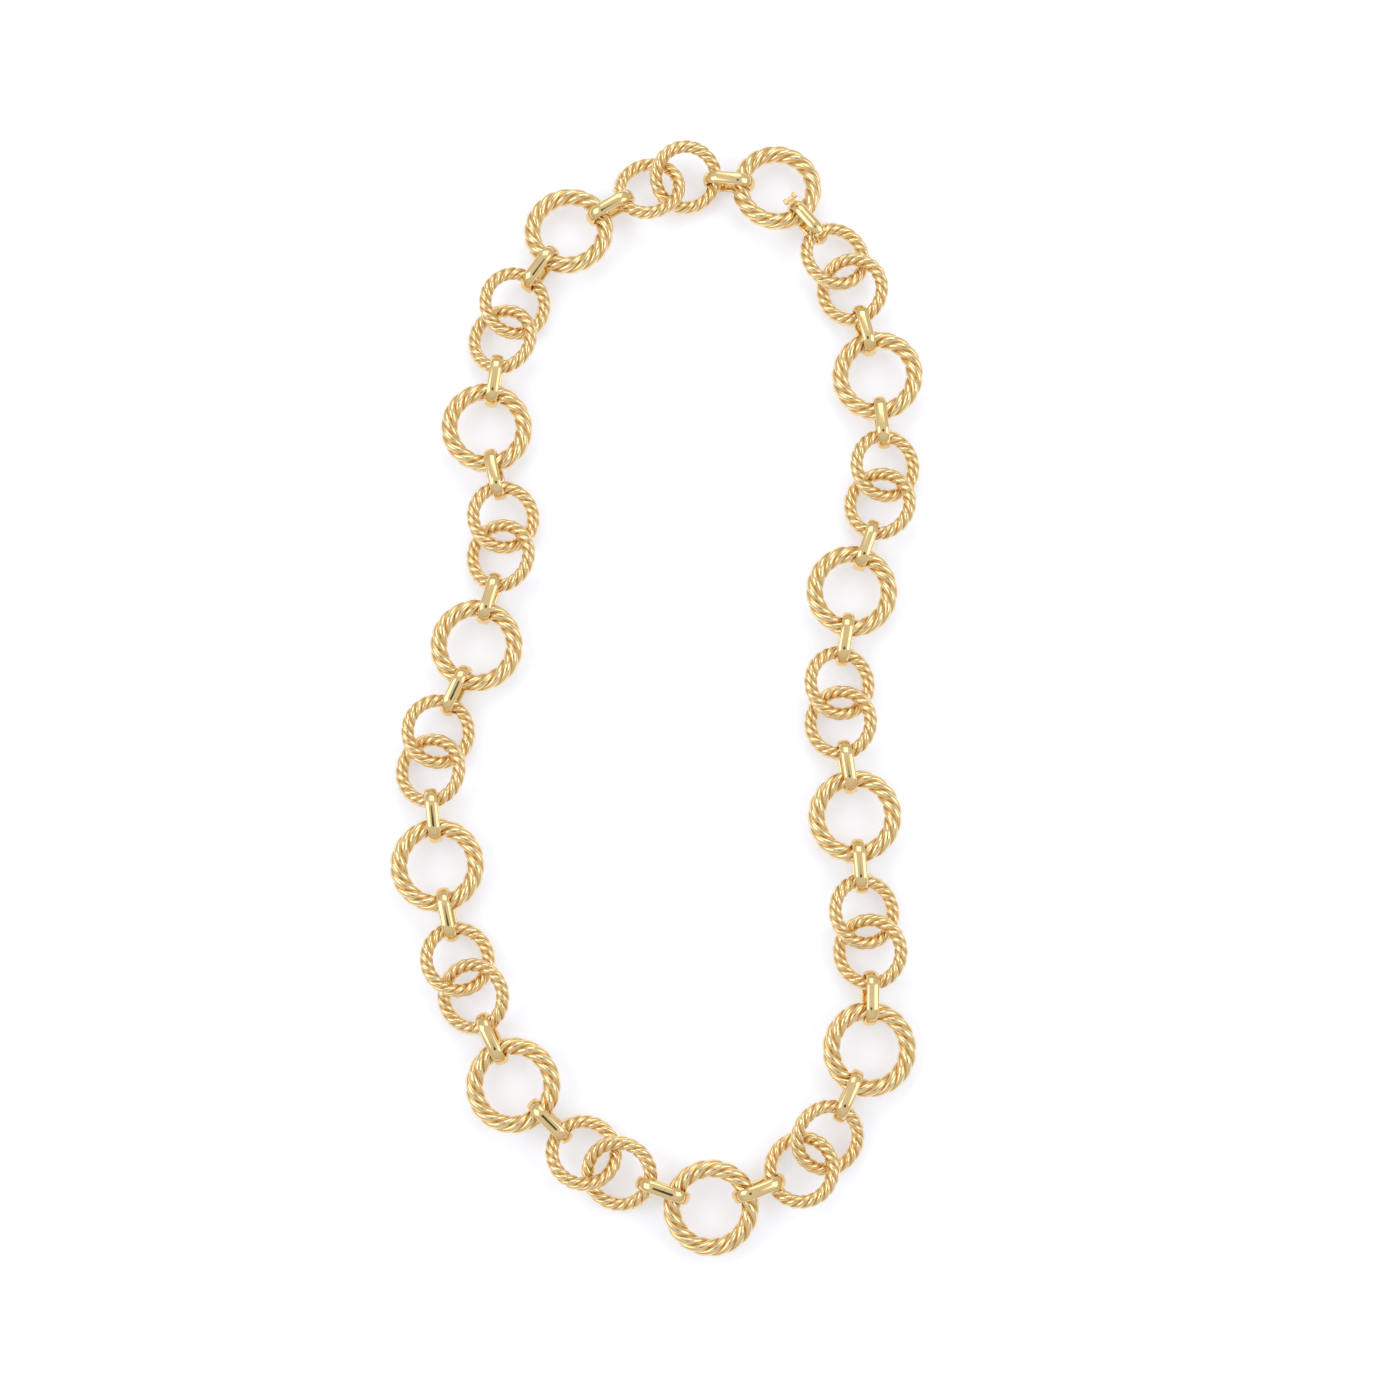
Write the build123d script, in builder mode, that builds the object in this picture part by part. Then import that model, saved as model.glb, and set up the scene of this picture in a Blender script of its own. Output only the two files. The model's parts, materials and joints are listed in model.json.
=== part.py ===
from build123d import *
import os
from math import asin, cos, degrees, radians, sin, sqrt, tan

# A closed chain necklace laid flat: +Y towards the clasp, +Z up off the table. The
# origin is on the table, under the middle of the necklace. All sizes are in mm.
os.makedirs("parts", exist_ok=True)

# Rope rings. The plain wires here are the envelope of the twisted strands.
big_ring_outer = 17.3
big_rope = 3.3
small_ring_outer = 14.0
small_rope = 2.5

# Oval links and the clasp, which shares their outline. Their window leaves room
# above and below the big ring's wire, between the two wires, and at the band's inner
# edges, where a tipped ring's wire comes closest.
band_width = 2.3
band_thickness = 0.95
band_side = 0.45
inner_edge_round = 0.4
edge_room_big = 0.14
edge_room_small = 0.022
window_room = 1.6
wire_room = 1.9

# Two small rings pass through each other, tipped opposite ways: the room between
# their wires along the chain, and where the wires cross
pair_room = 1.6
crossing_room = 0.292

# Clasp
gate_split_angle = 125
hinge_angle = 48
hinge_pin_radius = 0.25
knuckle_radius = 0.55
knuckle_width = 0.9
hinge_gap = 0.1
pin_running_gap = 0.05
tab_angle = 147
tab_gap = 0.15
tab_disc_radius = 0.6
tab_disc_thickness = 0.65
tab_width = 2.7
tab_bar_radius = 0.34
stem_width = 0.8
stem_thickness = 0.42
stem_gap = 0.12

# The drape, from the front ring clockwise as seen from above. Each group is the
# heading in degrees of three steps, counted from +X: big ring to small ring, small
# ring to its partner, partner to the next big ring.
drape = [
    (160, 150, 137),
    (115, 114, 103),
    (95, 80, 67),
    (76, 87, 101),
    (81, 72, 55),
    (29, 18, -7),
    (-51, -64, -75),
    (-86, -98, -108),
    (-98, -89, -82),
    (-85, -82, -91),
    (-116, -130, -157.6),
]

# Sideways tip of each big ring, how far each pair of small rings leans off even, and
# the outward lean of each link, in the same order
big_ring_tips = [-6, -2, 5, 5, 6, -6, -6, 6, -5, 6, -7]
pair_tip_shifts = [0, 0, 0, -2, 0, 0, 0, 0, 0, -2, -2]
link_leans = [
    (0, 3), (5, 2), (-3, 1), (-2, 6), (-4, 1), (-3, -5),
    (-1, 2), (-3, 0), (0, 2), (0, 7), (0, 5),
]

# Sizes that follow
big_radius = (big_ring_outer - big_rope) / 2
small_radius = (small_ring_outer - small_rope) / 2
pair_spacing = small_ring_outer - 2 * small_rope - pair_room
crossing_reach = sqrt(small_radius**2 - (pair_spacing / 2) ** 2)
pair_tip = degrees(asin((small_rope + crossing_room) / (2 * crossing_reach)))
window_radius = (big_rope + window_room) / 2
end_radius = window_radius + band_thickness
link_height = 2 * end_radius

steepest_lean = max(abs(lean) for leans in link_leans for lean in leans)
steepest_big = steepest_lean + max(abs(tip) for tip in big_ring_tips)
steepest_small = steepest_lean + pair_tip + max(abs(shift) for shift in pair_tip_shifts)


def wire_play(rope, ring_radius, tip, edge_room):
    # How far a wire stays off the end of a link's window. The steepest ring climbs and
    # curves away across the band, and still clears the band's inner edge.
    climb = band_width / 2 * tan(radians(tip))
    curve = (band_width / 2) ** 2 / (2 * ring_radius)
    window_gap = window_radius - rope / 2
    return window_gap + curve - sqrt((window_gap - edge_room) ** 2 - climb**2)


big_play = wire_play(big_rope, big_radius, steepest_big, edge_room_big)
small_play = wire_play(small_rope, small_radius, steepest_small, edge_room_small)
window_length = big_rope + small_rope + wire_room + big_play + small_play
link_length = window_length + 2 * band_thickness
half_straight = (link_length - link_height) / 2
wire_reach_big = window_length / 2 - big_play - big_rope / 2
wire_reach_small = window_length / 2 - small_play - small_rope / 2
link_step = big_radius + wire_reach_big + wire_reach_small + small_radius
ring_height = end_radius
closing_passes = 8


# Walk the chain. Each pass turns every step a little, by the least that brings the
# last step back to the front ring.
headings = [heading for group in drape for heading in group]
steps = [link_step, pair_spacing, link_step] * len(drape)
for closing_pass in range(closing_passes):
    centres = [(0.0, 0.0)]
    for heading, distance in zip(headings, steps):
        x, y = centres[-1]
        centres.append(
            (x + distance * cos(radians(heading)), y + distance * sin(radians(heading)))
        )
    gap_x, gap_y = centres.pop()
    sway = [(-d * sin(radians(h)), d * cos(radians(h))) for h, d in zip(headings, steps)]
    xx = sum(x * x for x, y in sway)
    xy = sum(x * y for x, y in sway)
    yy = sum(y * y for x, y in sway)
    pull_x = (xy * gap_y - yy * gap_x) / (xx * yy - xy**2)
    pull_y = (xy * gap_x - xx * gap_y) / (xx * yy - xy**2)
    headings = [h + degrees(pull_x * x + pull_y * y) for h, (x, y) in zip(headings, sway)]


def ring_plane(centre, heading, tip):
    # Local +X along the chain, +Y to the outside of the necklace, tipped about +X
    ahead = Vector(cos(radians(heading)), sin(radians(heading)), 0)
    outside = Vector(0, 0, 1).cross(ahead)
    normal = Vector(0, 0, 1) * cos(radians(tip)) - outside * sin(radians(tip))
    return Plane((*centre, ring_height), x_dir=ahead, z_dir=normal)


def rim_point(ring, radius, heading):
    # The point on a ring's wire where a link that runs off at this heading holds it
    ahead = Vector(cos(radians(heading)), sin(radians(heading)), 0)
    in_ring = (ahead - ring.z_dir * ahead.dot(ring.z_dir)).normalized()
    return ring.origin + in_ring * radius


def link_plane(start, end, start_reach, lean):
    # Local +X from wire to wire, the top bar leaning to the outside
    ahead = (end - start).normalized()
    outside = Vector(0, 0, 1).cross(ahead).normalized()
    up = ahead.cross(outside)
    spare = ((end - start).length - wire_reach_big - wire_reach_small) / 2
    leaned = up * cos(radians(lean)) + outside * sin(radians(lean))
    return Plane(start + ahead * (start_reach + spare), x_dir=ahead, z_dir=leaned)


# Rings and links in order round the necklace
rings = []
for i, centre in enumerate(centres):
    group, kind = divmod(i, 3)
    if kind == 0:
        turn = (headings[i] - headings[i - 1] + 180) % 360 - 180
        rings.append(ring_plane(centre, headings[i - 1] + turn / 2, big_ring_tips[group]))
    elif kind == 1:
        rings.append(ring_plane(centre, headings[i], pair_tip_shifts[group] - pair_tip))
    else:
        rings.append(ring_plane(centre, headings[i - 1], pair_tip_shifts[group] + pair_tip))

links = []
for group, (first_lean, second_lean) in enumerate(link_leans):
    first = 3 * group
    last = (first + 3) % len(rings)
    links.append(link_plane(
        rim_point(rings[first], big_radius, headings[first]),
        rim_point(rings[first + 1], small_radius, headings[first] + 180),
        wire_reach_big, first_lean,
    ))
    links.append(link_plane(
        rim_point(rings[first + 2], small_radius, headings[first + 2]),
        rim_point(rings[last], big_radius, headings[first + 2] + 180),
        wire_reach_small, second_lean,
    ))


# Rings
with BuildPart() as big_ring:
    with BuildSketch(Plane.XZ):
        with Locations((big_radius, 0)):
            Circle(big_rope / 2)
    revolve(axis=Axis.Z)

with BuildPart() as small_ring:
    with BuildSketch(Plane.XZ):
        with Locations((small_radius, 0)):
            Circle(small_rope / 2)
    revolve(axis=Axis.Z)

# The half-round band, drawn across the top bar with its flat side inwards
with BuildSketch() as band:
    with BuildLine():
        Line((-band_width / 2, 0), (band_width / 2, 0))
        Line((band_width / 2, 0), (band_width / 2, band_side))
        ThreePointArc(
            (band_width / 2, band_side), (0, band_thickness), (-band_width / 2, band_side)
        )
        Line((-band_width / 2, band_side), (-band_width / 2, 0))
    make_face()
    fillet(band.vertices().group_by(Axis.Y)[0], inner_edge_round)

# Oval link, its long way along X and standing on edge
with BuildPart() as oval_link:
    for side in (1, -1):
        across = Plane((0, 0, side * window_radius), x_dir=(0, side, 0), z_dir=(1, 0, 0))
        with BuildSketch(across):
            add(band.sketch)
        extrude(amount=half_straight, both=True)
        turn_from = Plane(
            (side * half_straight, 0, window_radius), x_dir=(0, 1, 0), z_dir=(1, 0, 0)
        )
        with BuildSketch(turn_from):
            add(band.sketch)
        revolve(
            axis=Axis((side * half_straight, 0, 0), (0, 1, 0)), revolution_arc=side * 180
        )

# Clasp pieces in the same local frame, hinge towards +X
arc_middle = end_radius - band_thickness / 2
pin_x = half_straight + arc_middle * cos(radians(hinge_angle))
pin_z = arc_middle * sin(radians(hinge_angle))
hinge = Plane((pin_x, 0, pin_z), x_dir=(1, 0, 0), z_dir=(0, -1, 0))
reach = link_height

# What lies above the split at one end and the hinge at the other
with BuildSketch(Plane.XZ) as gate_zone:
    with BuildLine():
        Polyline(
            (-half_straight, 0),
            (-half_straight + reach * cos(radians(gate_split_angle)),
             reach * sin(radians(gate_split_angle))),
            (half_straight + reach * cos(radians(hinge_angle)),
             reach * sin(radians(hinge_angle)) + reach),
            (half_straight + reach * cos(radians(hinge_angle)),
             reach * sin(radians(hinge_angle))),
            (half_straight, 0),
            close=True,
        )
    make_face()

with BuildPart() as clasp_frame_local:
    add(oval_link.part)
    with BuildSketch(Plane.XZ):
        add(gate_zone.sketch)
        with Locations((-half_straight, 0)):
            with Locations(Rot(0, 0, gate_split_angle)):
                Rectangle(2 * reach, 2 * hinge_gap, align=(Align.MIN, Align.CENTER))
    extrude(amount=band_width, both=True, mode=Mode.SUBTRACT)
    with BuildSketch(hinge):
        Circle(knuckle_radius + hinge_gap)
    extrude(amount=knuckle_width / 2 + hinge_gap, both=True, mode=Mode.SUBTRACT)
    for side in (1, -1):
        cheek_width = band_width / 2 - knuckle_width / 2 - hinge_gap
        with BuildSketch(hinge.offset(side * (knuckle_width / 2 + hinge_gap))):
            Circle(knuckle_radius)
        extrude(amount=side * cheek_width)
    with BuildSketch(hinge):
        Circle(hinge_pin_radius)
    extrude(amount=band_width, both=True, mode=Mode.SUBTRACT)

with BuildPart() as clasp_gate_local:
    add(oval_link.part)
    with BuildSketch(Plane.XZ):
        add(gate_zone.sketch)
    extrude(amount=band_width, both=True, mode=Mode.INTERSECT)
    for side in (1, -1):
        with BuildSketch(hinge.offset(side * knuckle_width / 2)):
            Circle(knuckle_radius + hinge_gap)
        extrude(amount=side * band_width, mode=Mode.SUBTRACT)
    with BuildSketch(hinge):
        Circle(knuckle_radius)
    extrude(amount=knuckle_width / 2, both=True)
    with BuildSketch(hinge):
        Circle(hinge_pin_radius + pin_running_gap)
    extrude(amount=band_width, both=True, mode=Mode.SUBTRACT)

with BuildPart() as clasp_pin_local:
    with BuildSketch(hinge):
        Circle(hinge_pin_radius)
    extrude(amount=band_width / 2 - 0.02, both=True)

# T-shaped thumb tab: a short bar with a disc at each end, on a stem off the gate
tab_radius = end_radius + tab_gap + tab_disc_radius
tab_x = -half_straight + tab_radius * cos(radians(tab_angle))
tab_z = tab_radius * sin(radians(tab_angle))
tab = Plane((tab_x, 0, tab_z), x_dir=(1, 0, 0), z_dir=(0, -1, 0))
stem_from = gate_split_angle - 12
stem_to = gate_split_angle - 4
stem_root = end_radius - 0.3 * band_thickness
stem_under = end_radius + stem_gap
stem_over = stem_under + stem_thickness


def around_end(radius, angle):
    # A point round the arc at the split end of the clasp
    return (-half_straight + radius * cos(radians(angle)), radius * sin(radians(angle)))


with BuildPart() as clasp_tab_local:
    with BuildSketch(tab):
        Circle(tab_bar_radius)
    extrude(amount=tab_width / 2, both=True)
    for side in (1, -1):
        with BuildSketch(tab.offset(side * (tab_width / 2 - tab_disc_thickness))):
            Circle(tab_disc_radius)
        extrude(amount=side * tab_disc_thickness)
    with BuildSketch(Plane.XZ):
        with BuildLine():
            Polyline(
                around_end(stem_over, stem_from), around_end(stem_root, stem_from),
                around_end(stem_root, stem_to), around_end(stem_under, stem_to),
            )
            ThreePointArc(
                around_end(stem_under, stem_to),
                around_end(stem_under, (stem_to + tab_angle) / 2),
                around_end(stem_under, tab_angle),
            )
            Line(around_end(stem_under, tab_angle), around_end(stem_over, tab_angle))
            ThreePointArc(
                around_end(stem_over, tab_angle),
                around_end(stem_over, (stem_from + tab_angle) / 2),
                around_end(stem_over, stem_from),
            )
        make_face()
    extrude(amount=stem_width / 2, both=True)
    add(clasp_gate_local.part, mode=Mode.SUBTRACT)


# Every piece with its local shape and its place
pieces = []
for i, ring in enumerate(rings):
    group, kind = divmod(i, 3)
    if kind == 0:
        pieces.append((f"big_ring_{group + 1:02d}", big_ring, ring))
    else:
        pieces.append((f"small_ring_{2 * group + kind:02d}", small_ring, ring))

clasp_place = 12
for i, link in enumerate(links):
    if i == clasp_place:
        pieces.append(("clasp_frame", clasp_frame_local, link))
        pieces.append(("clasp_gate", clasp_gate_local, link))
        pieces.append(("clasp_hinge_pin", clasp_pin_local, link))
        pieces.append(("clasp_thumb_tab", clasp_tab_local, link))
    else:
        pieces.append((f"oval_link_{i + 1:02d}", oval_link, link))

# Bring the origin under the middle of the necklace, with its lowest point on the table
boxes = [(plane.location * local.part).bounding_box() for name, local, plane in pieces]
shift = Vector(
    -(min(b.min.X for b in boxes) + max(b.max.X for b in boxes)) / 2,
    -(min(b.min.Y for b in boxes) + max(b.max.Y for b in boxes)) / 2,
    -min(b.min.Z for b in boxes),
)

for name, local, plane in pieces:
    settled = Plane(plane.origin + shift, x_dir=plane.x_dir, z_dir=plane.z_dir)
    with BuildPart() as piece:
        with Locations(settled.location):
            add(local.part)
    piece.part.label = name
    export_step(piece.part, f"parts/{name}.step")
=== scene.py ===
import json
import math

import bmesh
import bpy
import numpy as np
from mathutils import Matrix, Vector


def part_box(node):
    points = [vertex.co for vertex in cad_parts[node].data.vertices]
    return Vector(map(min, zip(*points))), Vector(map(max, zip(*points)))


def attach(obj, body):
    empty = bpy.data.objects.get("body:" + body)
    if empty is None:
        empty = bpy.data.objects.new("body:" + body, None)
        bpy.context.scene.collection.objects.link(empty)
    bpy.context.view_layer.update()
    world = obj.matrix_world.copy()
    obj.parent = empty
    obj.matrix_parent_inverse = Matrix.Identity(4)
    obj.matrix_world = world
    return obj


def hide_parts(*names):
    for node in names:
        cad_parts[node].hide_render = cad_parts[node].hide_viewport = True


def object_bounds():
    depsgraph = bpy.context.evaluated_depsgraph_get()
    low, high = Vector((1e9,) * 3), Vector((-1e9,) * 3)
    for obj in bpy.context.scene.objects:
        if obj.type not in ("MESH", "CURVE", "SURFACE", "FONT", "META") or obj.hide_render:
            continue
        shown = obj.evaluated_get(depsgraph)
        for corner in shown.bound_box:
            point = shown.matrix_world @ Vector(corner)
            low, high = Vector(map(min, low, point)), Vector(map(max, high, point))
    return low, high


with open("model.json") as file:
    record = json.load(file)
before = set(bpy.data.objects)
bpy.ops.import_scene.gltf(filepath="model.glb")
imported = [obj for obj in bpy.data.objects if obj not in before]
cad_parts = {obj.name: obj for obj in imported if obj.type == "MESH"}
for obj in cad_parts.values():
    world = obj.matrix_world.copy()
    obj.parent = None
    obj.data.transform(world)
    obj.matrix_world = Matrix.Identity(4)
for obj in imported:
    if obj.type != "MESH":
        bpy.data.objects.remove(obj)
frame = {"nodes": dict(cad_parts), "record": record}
cadLow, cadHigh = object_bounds()
nodes = frame["nodes"]
nodeBody = {n: b for b, members in frame["record"]["behaviour"]["bodies"].items() for n in members}
mm = 0.001
print("frame loaded:", len(nodes), "nodes")


def toLinear(hexColour):
    parts = [int(hexColour[i:i + 2], 16) / 255 for i in (1, 3, 5)]
    return [c / 12.92 if c <= 0.04045 else ((c + 0.055) / 1.055) ** 2.4 for c in parts] + [1.0]


def addNode(tree, kind, settings=None, inputs=None):
    node = tree.nodes.new(kind)
    for key, value in (settings or {}).items():
        setattr(node, key, value)
    for key, value in (inputs or {}).items():
        if isinstance(value, bpy.types.NodeSocket):
            tree.links.new(value, node.inputs[key])
        else:
            node.inputs[key].default_value = value
    return node


def newMaterial(name):
    material = bpy.data.materials.new(name)
    material.use_nodes = True
    tree = material.node_tree
    tree.nodes.clear()
    return material, tree


# gold-plated brass, tumble polished: near-mirror with a soft bloom and faint polishing ripple
polishedGold = dict(
    bright="#F6DCA8",
    deep="#EFCF90",      # thinner plate lets a warmer tone through in soft patches
    patchSize=2.4 * mm,
    patchDetail=2.0,
    patchFrom=0.3,       # noise values that give the smoothest and the dullest plate
    patchTo=0.7,
    rippleSize=0.35 * mm,
    rippleDetail=3.0,
    rippleHeight=0.004 * mm,
    rippleStrength=0.25,
    smoothest=0.07,
    dullest=0.16,
)


def makePolishedGold():
    look = polishedGold
    material, tree = newMaterial("gold_plated_brass_polished")
    where = addNode(tree, "ShaderNodeTexCoord").outputs["Object"]
    patch = addNode(tree, "ShaderNodeTexNoise", None,
                    {"Vector": where, "Scale": 1 / look["patchSize"],
                     "Detail": look["patchDetail"]}).outputs["Fac"]
    ripple = addNode(tree, "ShaderNodeTexNoise", None,
                     {"Vector": where, "Scale": 1 / look["rippleSize"],
                      "Detail": look["rippleDetail"]}).outputs["Fac"]
    colour = addNode(tree, "ShaderNodeMix", {"data_type": "RGBA"}, {0: patch})
    colour.inputs[6].default_value = toLinear(look["deep"])
    colour.inputs[7].default_value = toLinear(look["bright"])
    rough = addNode(tree, "ShaderNodeMapRange", None,
                    {"Value": patch, "From Min": look["patchFrom"], "From Max": look["patchTo"],
                     "To Min": look["smoothest"], "To Max": look["dullest"]}).outputs["Result"]
    bump = addNode(tree, "ShaderNodeBump", None,
                   {"Height": ripple, "Strength": look["rippleStrength"],
                    "Distance": look["rippleHeight"]})
    shader = addNode(tree, "ShaderNodeBsdfPrincipled", None,
                     {"Base Color": colour.outputs[2], "Metallic": 1.0, "Roughness": rough,
                      "Normal": bump.outputs["Normal"]})
    addNode(tree, "ShaderNodeOutputMaterial", None, {"Surface": shader.outputs["BSDF"]})
    return material


# gold-plated brass wire, twisted before plating: bright and polished on the crests, duller down in
# the grooves, where the mop does not reach; the darker, warmer colour in the grooves is painted
# shade
ropeGold = dict(
    crest="#F6DCA8",
    # painted shade: the darker, warmer colour laid into the rope's grooves
    paintedGrooveShade="#DDAE66",
    crestRoughness=0.13,
    grooveRoughness=0.34,
    grainSize=0.22 * mm,
    grainDetail=3.0,
    grainHeight=0.006 * mm,
    grainStrength=0.3,
)


def makeRopeGold():
    look = ropeGold
    material, tree = newMaterial("gold_plated_brass_rope_wire")
    where = addNode(tree, "ShaderNodeTexCoord").outputs["Object"]
    depth = addNode(tree, "ShaderNodeAttribute", {"attribute_name": "grooveDepth"}).outputs["Fac"]
    grain = addNode(tree, "ShaderNodeTexNoise", None,
                    {"Vector": where, "Scale": 1 / look["grainSize"],
                     "Detail": look["grainDetail"]}).outputs["Fac"]
    # painted shade: the colour runs from the crest tone to a darker, warmer tone down in the
    # grooves
    colour = addNode(tree, "ShaderNodeMix", {"data_type": "RGBA"}, {0: depth})
    colour.inputs[6].default_value = toLinear(look["crest"])
    colour.inputs[7].default_value = toLinear(look["paintedGrooveShade"])
    rough = addNode(tree, "ShaderNodeMapRange", None,
                    {"Value": depth, "To Min": look["crestRoughness"],
                     "To Max": look["grooveRoughness"]}).outputs["Result"]
    bump = addNode(tree, "ShaderNodeBump", None,
                   {"Height": grain, "Strength": look["grainStrength"],
                    "Distance": look["grainHeight"]})
    shader = addNode(tree, "ShaderNodeBsdfPrincipled", None,
                     {"Base Color": colour.outputs[2], "Metallic": 1.0, "Roughness": rough,
                      "Normal": bump.outputs["Normal"]})
    addNode(tree, "ShaderNodeOutputMaterial", None, {"Surface": shader.outputs["BSDF"]})
    return material


goldPolished = makePolishedGold()
goldRope = makeRopeGold()
print("materials made")


# a ring or link lies along its longest spread of points, and its shortest is its axle
def ownAxes(node):
    low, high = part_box(node)
    centre = (low + high) / 2
    points = np.array([v.co for v in nodes[node].data.vertices]) - np.array(centre)
    axes = np.linalg.eigh(points.T @ points)[1]
    short, long = Vector(axes[:, 0]), Vector(axes[:, 2])
    if short.z < 0:
        short.negate()
    return centre, long, short


def placeInMesh(bm, centre, xAxis, zAxis):
    yAxis = zAxis.cross(xAxis)
    turn = Matrix((xAxis, yAxis, zAxis)).transposed().to_4x4()
    bmesh.ops.transform(bm, matrix=Matrix.Translation(centre) @ turn, verts=bm.verts)


weldDistance = 0.0005 * mm   # closes the seams where a grid or a spin meets itself


def finishPiece(bm, name, node, material):
    bmesh.ops.remove_doubles(bm, verts=bm.verts, dist=weldDistance)
    bmesh.ops.recalc_face_normals(bm, faces=bm.faces)
    mesh = bpy.data.meshes.new(name)
    for face in bm.faces:
        face.smooth = True
    bm.to_mesh(mesh)
    bm.free()
    mesh.materials.append(material)
    piece = bpy.data.objects.new(name, mesh)
    bpy.context.scene.collection.objects.link(piece)
    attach(piece, nodeBody[node])
    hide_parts(node)


# four round strands twisted into a rope and closed to a ring: 17 ridges round a big ring
bigRope = dict(
    middleRadius=7.0 * mm,
    ropeRadius=1.65 * mm,
    strands=4,
    twists=4.25,
    stepsRound=204,
    stepsAcross=64,
)
# the same rope, thinner and twisted tighter: 21 ridges round a small ring
smallRope = dict(
    middleRadius=5.75 * mm,
    ropeRadius=1.25 * mm,
    strands=4,
    twists=5.25,
    stepsRound=210,
    stepsAcross=64,
)
grooveDepth = 0.42       # over the rope's radius
turnBetweenRings = 2.1   # each ring's strands start elsewhere


def strandDrop(share):
    # share runs 0 to 1 over one round strand, 1 at its groove and 0 on its crest
    u = share * 2 - 1
    return 1 - math.sqrt(max(0.0, 1 - u * u))


def makeRopeRing(node, rope, startTurn):
    bm = bmesh.new()
    bmesh.ops.create_grid(bm, x_segments=rope["stepsRound"],
                          y_segments=rope["stepsAcross"], size=0.5)
    depth = bm.verts.layers.float.new("grooveDepth")
    for vert in bm.verts:      # the flat sheet is rolled round the rope and along the ring
        along = (vert.co.x + 0.5) * math.tau
        across = vert.co.y + 0.5
        drop = strandDrop(across * rope["strands"] % 1)
        turn = across * math.tau + along * rope["twists"] + startTurn
        reach = rope["ropeRadius"] * (1 - drop * grooveDepth)
        out = rope["middleRadius"] + reach * math.cos(turn)
        # the groove depth, which the rope material reads for its roughness and its painted groove
        # shade
        vert[depth] = drop
        vert.co = (out * math.cos(along), out * math.sin(along), reach * math.sin(turn))
    centre, long, short = ownAxes(node)
    placeInMesh(bm, centre, long, short)
    finishPiece(bm, "rope_" + node, node, goldRope)


for i, node in enumerate(sorted(n for n in nodes if "_ring_" in n)):
    makeRopeRing(node, bigRope if node.startswith("big") else smallRope, i * turnBetweenRings)
print("rope rings made")


# a band bent to a long oval, flat inside and domed outside
ovalLink = dict(
    length=10.2 * mm,
    height=6.8 * mm,
    bandWidth=2.3 * mm,
    thickness=0.95 * mm,
    side=0.45 * mm,       # straight part of the band's edge, under the dome
    innerFlatness=0.45,   # lower is a flatter inner face
    sectionSteps=32,
    endSteps=32,
)


def makeOvalLink(node):
    size = ovalLink
    radius = size["height"] / 2
    half = size["length"] / 2 - radius
    rise = size["thickness"] - size["side"]
    bm = bmesh.new()
    bmesh.ops.create_circle(bm, segments=size["sectionSteps"], radius=1.0)
    for vert in bm.verts:
        wide, tall = vert.co.x, vert.co.y
        if tall >= 0:
            tall = rise * tall
        else:
            wide = math.copysign(abs(wide) ** size["innerFlatness"], wide)
            tall = -size["side"] * abs(tall) ** size["innerFlatness"]
        vert.co = (half, wide * size["bandWidth"] / 2, radius - rise + tall)
    first = list(bm.edges)
    turned = bmesh.ops.spin(bm, geom=first, axis=(0, 1, 0), cent=(half, 0, 0), angle=math.pi,
                            steps=size["endSteps"])["geom_last"]
    below = [g for g in turned if isinstance(g, bmesh.types.BMEdge)]
    moved = bmesh.ops.extrude_edge_only(bm, edges=below)["geom"]
    verts = [g for g in moved if isinstance(g, bmesh.types.BMVert)]
    bmesh.ops.translate(bm, vec=(-2 * half, 0, 0), verts=verts)
    far = [g for g in moved if isinstance(g, bmesh.types.BMEdge)]
    turned = bmesh.ops.spin(bm, geom=far, axis=(0, 1, 0), cent=(-half, 0, 0), angle=math.pi,
                            steps=size["endSteps"])["geom_last"]
    last = [g for g in turned if isinstance(g, bmesh.types.BMEdge)]
    bmesh.ops.bridge_loops(bm, edges=first + last)
    centre, long, short = ownAxes(node)
    up = long.cross(short)
    if up.z < 0:
        up.negate()
    placeInMesh(bm, centre, long, up)
    finishPiece(bm, "domed_" + node, node, goldPolished)


for node in sorted(n for n in nodes if n.startswith("oval_link")):
    makeOvalLink(node)
print("oval links made")

for node in nodes:
    if node.startswith("clasp"):
        nodes[node].data.materials.clear()
        nodes[node].data.materials.append(goldPolished)
print("clasp finished")


stage = dict(
    floorColour="#E8EBF3",
    floorGlow=0.40,      # the card is lit through from below, so shadows stay faint
    floorRadius=12.0,
    floorSides=96,
    floorRoughness=0.9,
    floorGloss=0.1,
    toothPerMetre=900.0,  # the card's fine tooth, too faint to show as more than softness
    toothHeight=0.1 * mm,
    toothStrength=0.05,
    skyStrength=0.86,
    overhead="#4A4A4A",   # the dark camera and its arm, which the gold mirrors as thin lines
    overheadCore=6.0,     # degrees from the aim line, fully dark inside
    overheadEdge=12.0,
    skyTop="#F0F0F0",
    skyMiddle="#E4E4E4",
    skySide="#D2D2D2",
    horizon="#F6F7FB",    # a pale haze where the card meets the dome
    topHeight=0.9,        # sine of the height above the card that each sky colour holds at
    middleHeight=0.45,
    sideHeight=0.14,
    softboxPower=0.95,
    softboxSize=0.45,
    softboxDistance=0.75,
    softboxSpread=0.72,   # sideways against up, about 44 degrees above the card
    softboxRise=0.7,
)

cameraPlace = dict(
    aim=(7.3 * mm, -3.7 * mm, 3.8 * mm),
    lean=9.0,            # degrees from straight down, towards the front ring
    distance=450 * mm,
    lens=62.5,
    sensor=36,
    nearest=0.01,
    furthest=20,
)

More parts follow.
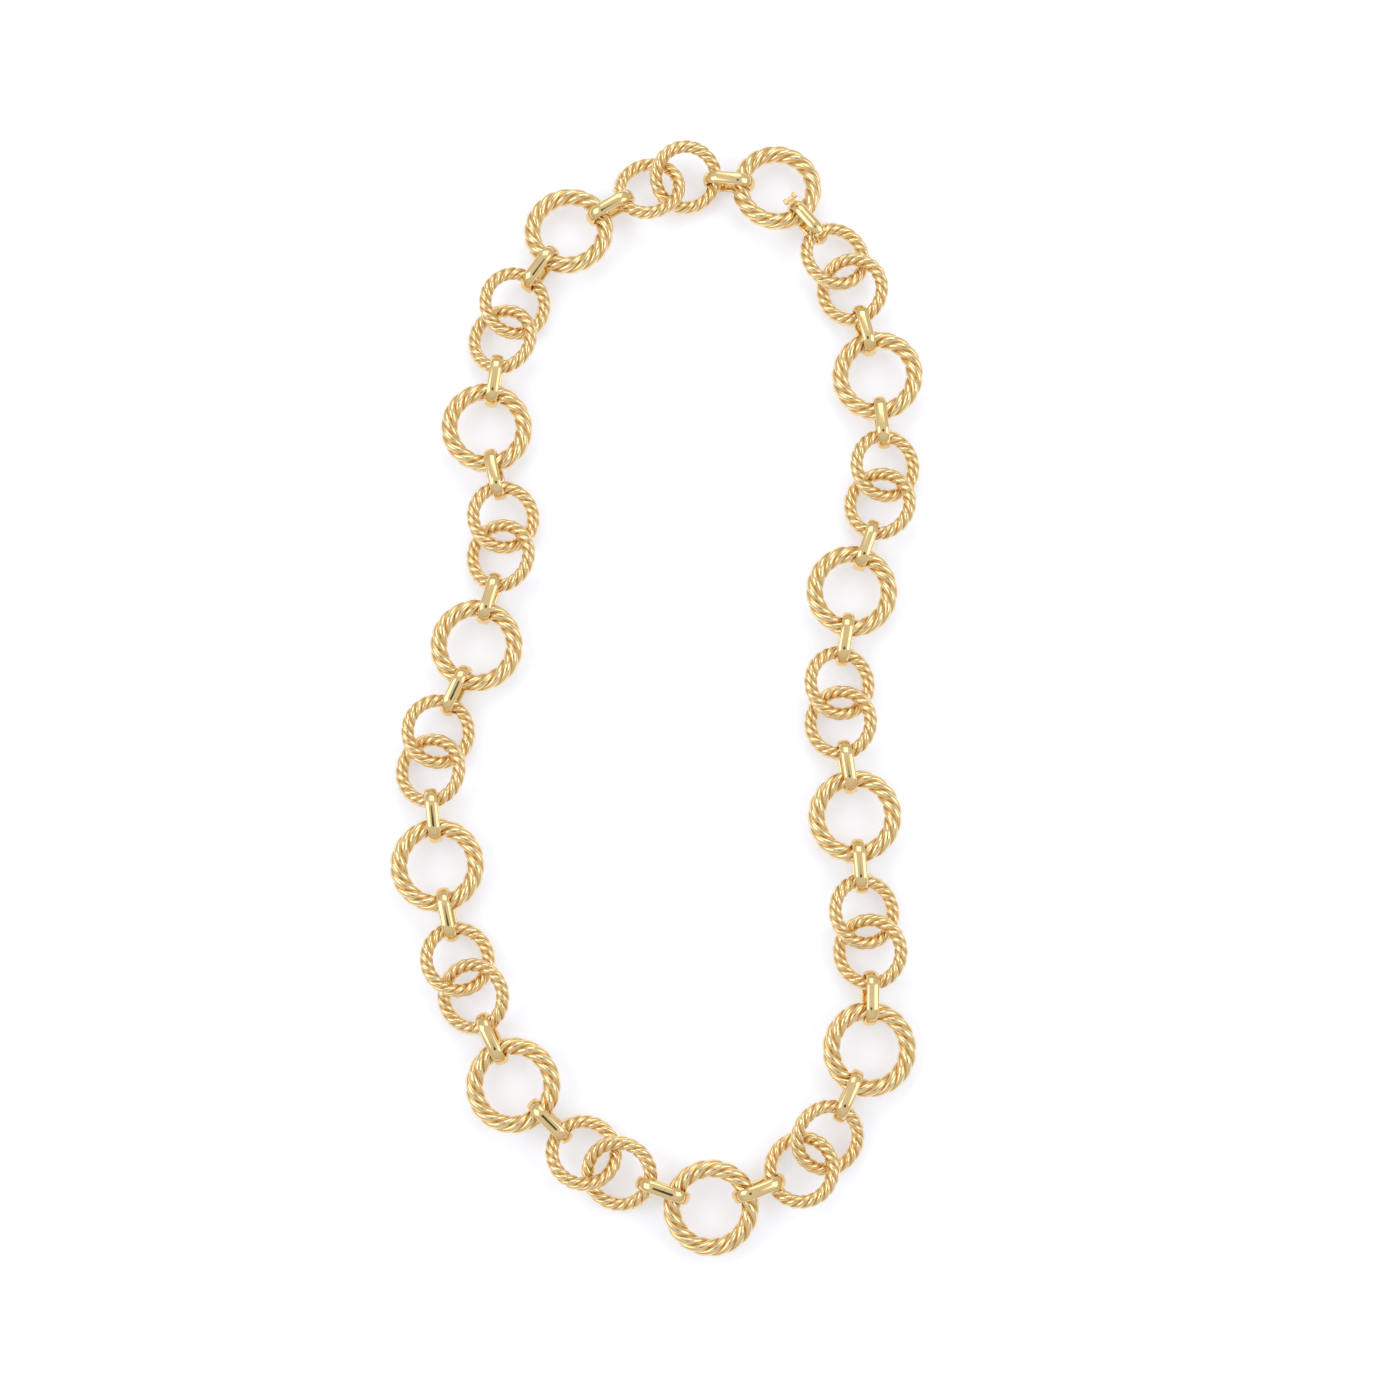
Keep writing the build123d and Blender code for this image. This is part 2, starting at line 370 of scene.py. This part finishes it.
floorMaterial, tree = newMaterial("matt_card_white")
where = addNode(tree, "ShaderNodeTexCoord").outputs["Object"]
tooth = addNode(tree, "ShaderNodeTexNoise", None,
                {"Vector": where, "Scale": stage["toothPerMetre"]}).outputs["Fac"]
bump = addNode(tree, "ShaderNodeBump", None,
               {"Height": tooth, "Strength": stage["toothStrength"],
                "Distance": stage["toothHeight"]})
shader = addNode(tree, "ShaderNodeBsdfPrincipled", None,
                 {"Base Color": toLinear(stage["floorColour"]),
                  "Roughness": stage["floorRoughness"],
                  "Specular IOR Level": stage["floorGloss"], "Normal": bump.outputs["Normal"],
                  "Emission Color": toLinear(stage["floorColour"]),
                  "Emission Strength": stage["floorGlow"]})
addNode(tree, "ShaderNodeOutputMaterial", None, {"Surface": shader.outputs["BSDF"]})
bm = bmesh.new()
bmesh.ops.create_circle(bm, cap_ends=True, segments=stage["floorSides"],
                        radius=stage["floorRadius"])
bmesh.ops.translate(bm, vec=(0, 0, cadLow.z), verts=bm.verts)
floorMesh = bpy.data.meshes.new("floor")
bm.to_mesh(floorMesh)
bm.free()
floorMesh.materials.append(floorMaterial)
floor = bpy.data.objects.new("floor", floorMesh)
bpy.context.scene.collection.objects.link(floor)

lean = math.radians(cameraPlace["lean"])
aim = Vector(cameraPlace["aim"])
back = Vector((0, -math.sin(lean), math.cos(lean)))

world = bpy.data.worlds.new("studio_dome")
bpy.context.scene.world = world
world.use_nodes = True
tree = world.node_tree
tree.nodes.clear()
direction = addNode(tree, "ShaderNodeTexCoord").outputs["Generated"]
height = addNode(tree, "ShaderNodeSeparateXYZ", None, {"Vector": direction}).outputs["Z"]
dome = addNode(tree, "ShaderNodeValToRGB", None, {"Fac": height})
ramp = dome.color_ramp.elements
ramp[0].position = 0.0
ramp[0].color = toLinear(stage["horizon"])
ramp[1].position = stage["topHeight"]
ramp[1].color = toLinear(stage["skyTop"])
ramp.new(stage["sideHeight"]).color = toLinear(stage["skySide"])
ramp.new(stage["middleHeight"]).color = toLinear(stage["skyMiddle"])
facing = addNode(tree, "ShaderNodeVectorMath", {"operation": "DOT_PRODUCT"},
                 {0: direction, 1: back}).outputs["Value"]
spot = addNode(tree, "ShaderNodeMapRange", None,
               {"Value": facing, "From Min": math.cos(math.radians(stage["overheadEdge"])),
                "From Max": math.cos(math.radians(stage["overheadCore"]))}).outputs["Result"]
sky = addNode(tree, "ShaderNodeMix", {"data_type": "RGBA"}, {0: spot, 6: dome.outputs["Color"]})
sky.inputs[7].default_value = toLinear(stage["overhead"])
shade = addNode(tree, "ShaderNodeBackground", None,
                {"Color": sky.outputs[2], "Strength": stage["skyStrength"]})
addNode(tree, "ShaderNodeOutputWorld", None, {"Surface": shade.outputs["Background"]})

softboxes = (("softbox_left", 180, 1.0), ("softbox_right", 0, 0.8), ("softbox_back", 90, 0.7))
for name, azimuth, power in softboxes:
    lamp = bpy.data.lights.new(name, "AREA")
    lamp.shape = "SQUARE"
    lamp.size = stage["softboxSize"]
    lamp.energy = stage["softboxPower"] * power
    box = bpy.data.objects.new(name, lamp)
    angle = math.radians(azimuth)
    away = Vector((math.cos(angle) * stage["softboxSpread"],
                   math.sin(angle) * stage["softboxSpread"], stage["softboxRise"])).normalized()
    box.location = aim + away * stage["softboxDistance"]
    box.rotation_mode = "QUATERNION"
    box.rotation_quaternion = away.to_track_quat("Z", "Y")
    bpy.context.scene.collection.objects.link(box)

eye = bpy.data.cameras.new("camera")
eye.lens = cameraPlace["lens"]
eye.sensor_width = cameraPlace["sensor"]
eye.clip_start = cameraPlace["nearest"]
eye.clip_end = cameraPlace["furthest"]
camera = bpy.data.objects.new("camera", eye)
camera.location = aim + back * cameraPlace["distance"]
camera.rotation_euler = (lean, 0, 0)
bpy.context.scene.collection.objects.link(camera)
bpy.context.scene.camera = camera
bpy.context.scene.view_settings.view_transform = "Standard"
print("stage set")
